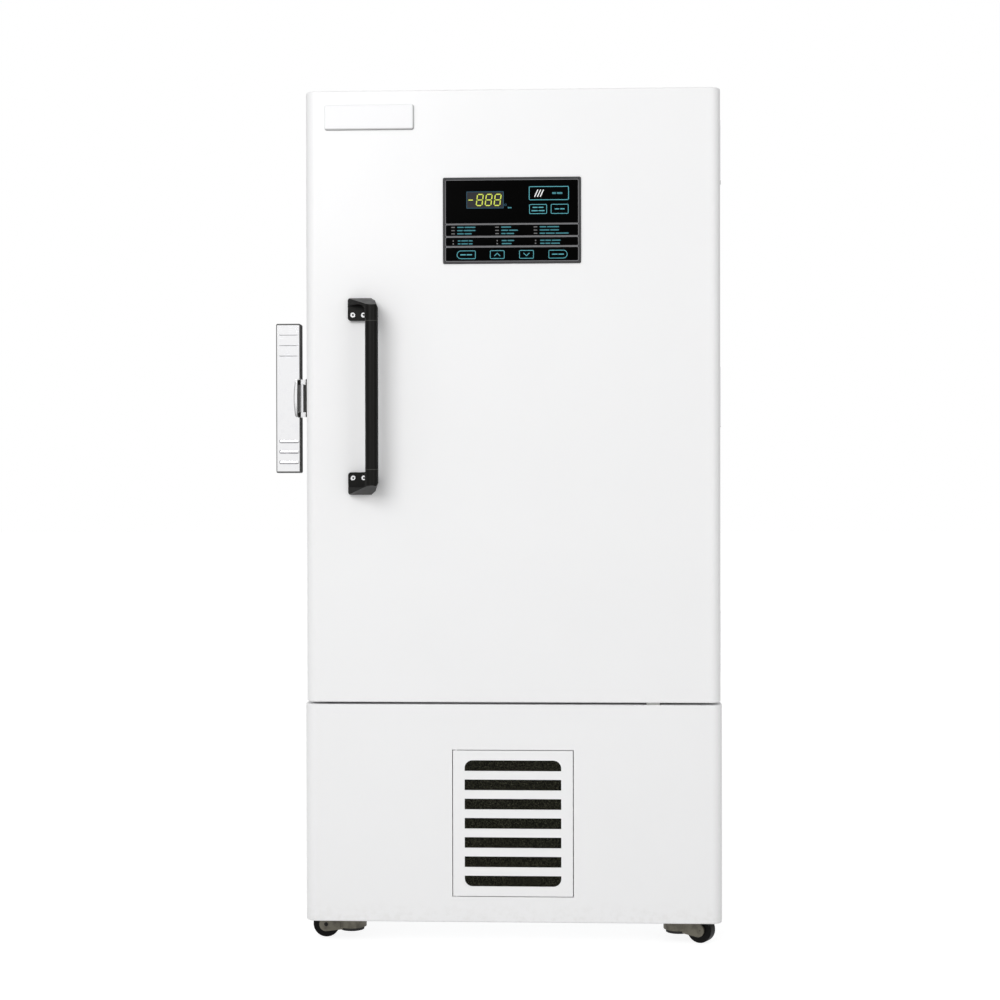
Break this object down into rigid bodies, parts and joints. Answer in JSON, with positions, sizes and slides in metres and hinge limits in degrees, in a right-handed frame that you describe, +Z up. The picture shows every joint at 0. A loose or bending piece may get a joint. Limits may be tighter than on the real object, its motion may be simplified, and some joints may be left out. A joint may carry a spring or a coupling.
{
  "type": "ultra low temperature freezer",
  "caption": "Upright laboratory freezer with an insulated outer door, side latch, two inner doors, shelves, a control panel, a grilled machine base and levelling casters",
  "frame": {"origin": "on the floor, in the centre of the footprint between the door's front face and the rear bumpers, half way between the cabinet's sides", "axes": "+X to the right as seen from the front, +Y to the rear, +Z up; the door faces -Y"},
  "size_m": [0.8347, 0.862, 1.58],
  "materials": {
    "white_paint": "gloss",
    "galvanised_steel": "satin",
    "stainless_steel": "satin",
    "foam": "matte",
    "mastic": "matte",
    "white_plastic": "satin",
    "grey_plastic": "satin",
    "grey_rubber": "matte",
    "black_rubber": "matte",
    "black_coating": "satin",
    "polished_steel": "polished",
    "screw_steel": "satin",
    "panel_black": "gloss",
    "key_black": "gloss",
    "display_grey": "gloss",
    "circuit_board": "satin",
    "plate_white": "satin",
    "filter_foam": "matte",
    "copper": "satin",
    "fin_aluminium": "satin",
    "black_paint": "gloss",
    "caster_grey": "satin",
    "wheel_black": "satin",
    "zinc_steel": "satin"
  },
  "bodies": {
    "cabinet": {"cabinet_shell": "white_paint", "back_panel": "galvanised_steel", "insulation": "foam", "evaporator_jacket": "mastic", "inner_liner": "stainless_steel", "breaker_frame": "white_plastic", "shelves": "stainless_steel", "inner_door_brackets": "zinc_steel", "access_port": "grey_plastic", "base_shell": "white_paint", "chassis_plate": "galvanised_steel", "rear_cover": "galvanised_steel", "bumpers": "grey_plastic", "condenser": "fin_aluminium", "fan_shroud": "galvanised_steel", "fan_motor": "black_paint", "compressors": "black_paint", "compressor_grommets": "black_rubber", "cascade_exchanger": "stainless_steel", "refrigerant_pipes": "copper", "electrical_box": "galvanised_steel", "power_inlet": "panel_black", "hinge_leaves_cabinet": "polished_steel", "latch_strike": "polished_steel", "caster_mounts": "zinc_steel"},
    "outer_door": {"door_shell": "white_paint", "door_insulation": "foam", "door_liner": "white_plastic", "door_gasket": "grey_rubber", "hinge_leaves_door": "polished_steel", "handle_tube": "black_coating", "handle_shanks": "black_coating", "handle_screws": "screw_steel", "name_plate": "plate_white", "panel_bezel": "panel_black", "panel_overlay": "panel_black", "display_window": "display_grey", "control_board": "circuit_board", "latch_base": "polished_steel"},
    "latch_lever": {"latch_lever": "polished_steel"},
    "inner_door_lower": {"inner_door_lower": "white_plastic"},
    "inner_door_upper": {"inner_door_upper": "white_plastic"},
    "filter_door": {"filter_door": "white_paint", "foam_filter": "filter_foam"},
    "fan": {"fan_blades": "black_coating"},
    "main_switch": {"switch_rocker": "key_black"},
    "key_display": {"key_display": "key_black"},
    "key_silence": {"key_silence": "key_black"},
    "key_mode": {"key_mode": "key_black"},
    "key_up": {"key_up": "key_black"},
    "key_down": {"key_down": "key_black"},
    "key_enter": {"key_enter": "key_black"},
    "caster_fl": {"caster_housing_fl": "caster_grey"},
    "wheel_fl": {"caster_wheel_fl": "wheel_black"},
    "caster_fr": {"caster_housing_fr": "caster_grey"},
    "wheel_fr": {"caster_wheel_fr": "wheel_black"},
    "caster_rl": {"caster_housing_rl": "caster_grey"},
    "wheel_rl": {"caster_wheel_rl": "wheel_black"},
    "caster_rr": {"caster_housing_rr": "caster_grey"},
    "wheel_rr": {"caster_wheel_rr": "wheel_black"}
  },
  "joints": [
    {"name": "door_swing", "type": "hinge", "parent": "cabinet", "child": "outer_door", "pos_m": [0.3835, -0.305, 1.016], "axis": [0, 0, 1], "range_deg": [0, 120]},
    {"name": "latch_turn", "type": "hinge", "parent": "outer_door", "child": "latch_lever", "pos_m": [-0.397, -0.338, 1.016], "axis": [0, 0, 1], "range_deg": [0, 55]},
    {"name": "inner_lower_swing", "type": "hinge", "parent": "cabinet", "child": "inner_door_lower", "pos_m": [0.232, -0.28, 0.785], "axis": [0, 0, 1], "range_deg": [0, 96]},
    {"name": "inner_upper_swing", "type": "hinge", "parent": "cabinet", "child": "inner_door_upper", "pos_m": [0.232, -0.28, 1.23], "axis": [0, 0, 1], "range_deg": [0, 96]},
    {"name": "filter_swing", "type": "hinge", "parent": "cabinet", "child": "filter_door", "pos_m": [-0.1045, -0.3965, 0.229], "axis": [0, 0, -1], "range_deg": [0, 110]},
    {"name": "fan_spin", "type": "hinge", "parent": "cabinet", "child": "fan", "pos_m": [0, -0.324, 0.229], "axis": [0, 1, 0], "continuous": true},
    {"name": "switch_rock", "type": "hinge", "parent": "cabinet", "child": "main_switch", "pos_m": [-0.208, 0.369, 0.18], "axis": [1, 0, 0], "range_deg": [-20, 0]},
    {"name": "key_display_press", "type": "slide", "parent": "outer_door", "child": "key_display", "axis": [0, 1, 0], "range_m": [0, 0.0005], "stiffness_N_per_m": 800},
    {"name": "key_silence_press", "type": "slide", "parent": "outer_door", "child": "key_silence", "axis": [0, 1, 0], "range_m": [0, 0.0005], "stiffness_N_per_m": 800},
    {"name": "key_mode_press", "type": "slide", "parent": "outer_door", "child": "key_mode", "axis": [0, 1, 0], "range_m": [0, 0.0005], "stiffness_N_per_m": 800},
    {"name": "key_up_press", "type": "slide", "parent": "outer_door", "child": "key_up", "axis": [0, 1, 0], "range_m": [0, 0.0005], "stiffness_N_per_m": 800},
    {"name": "key_down_press", "type": "slide", "parent": "outer_door", "child": "key_down", "axis": [0, 1, 0], "range_m": [0, 0.0005], "stiffness_N_per_m": 800},
    {"name": "key_enter_press", "type": "slide", "parent": "outer_door", "child": "key_enter", "axis": [0, 1, 0], "range_m": [0, 0.0005], "stiffness_N_per_m": 800},
    {"name": "caster_fl_swivel", "type": "hinge", "parent": "cabinet", "child": "caster_fl", "pos_m": [-0.307, -0.322, 0.06], "axis": [0, 0, 1], "continuous": true},
    {"name": "wheel_fl_roll", "type": "hinge", "parent": "caster_fl", "child": "wheel_fl", "pos_m": [-0.355, -0.322, 0.025], "axis": [0, 1, 0], "continuous": true},
    {"name": "caster_fr_swivel", "type": "hinge", "parent": "cabinet", "child": "caster_fr", "pos_m": [0.307, -0.322, 0.06], "axis": [0, 0, 1], "continuous": true},
    {"name": "wheel_fr_roll", "type": "hinge", "parent": "caster_fr", "child": "wheel_fr", "pos_m": [0.34857, -0.346, 0.025], "axis": [-0.5, -0.866, 0], "continuous": true},
    {"name": "caster_rl_swivel", "type": "hinge", "parent": "cabinet", "child": "caster_rl", "pos_m": [-0.307, 0.292, 0.06], "axis": [0, 0, 1], "continuous": true},
    {"name": "wheel_rl_roll", "type": "hinge", "parent": "caster_rl", "child": "wheel_rl", "pos_m": [-0.35336, 0.30442, 0.025], "axis": [0.2588, 0.9659, 0], "continuous": true},
    {"name": "caster_rr_swivel", "type": "hinge", "parent": "cabinet", "child": "caster_rr", "pos_m": [0.307, 0.292, 0.06], "axis": [0, 0, 1], "continuous": true},
    {"name": "wheel_rr_roll", "type": "hinge", "parent": "caster_rr", "child": "wheel_rr", "pos_m": [0.35336, 0.30442, 0.025], "axis": [0.2588, -0.9659, 0], "continuous": true}
  ],
  "couplings": [
    {"joint": "inner_lower_swing", "follows": "door_swing", "ratio": 0.8},
    {"joint": "inner_upper_swing", "follows": "door_swing", "ratio": 0.8}
  ]
}
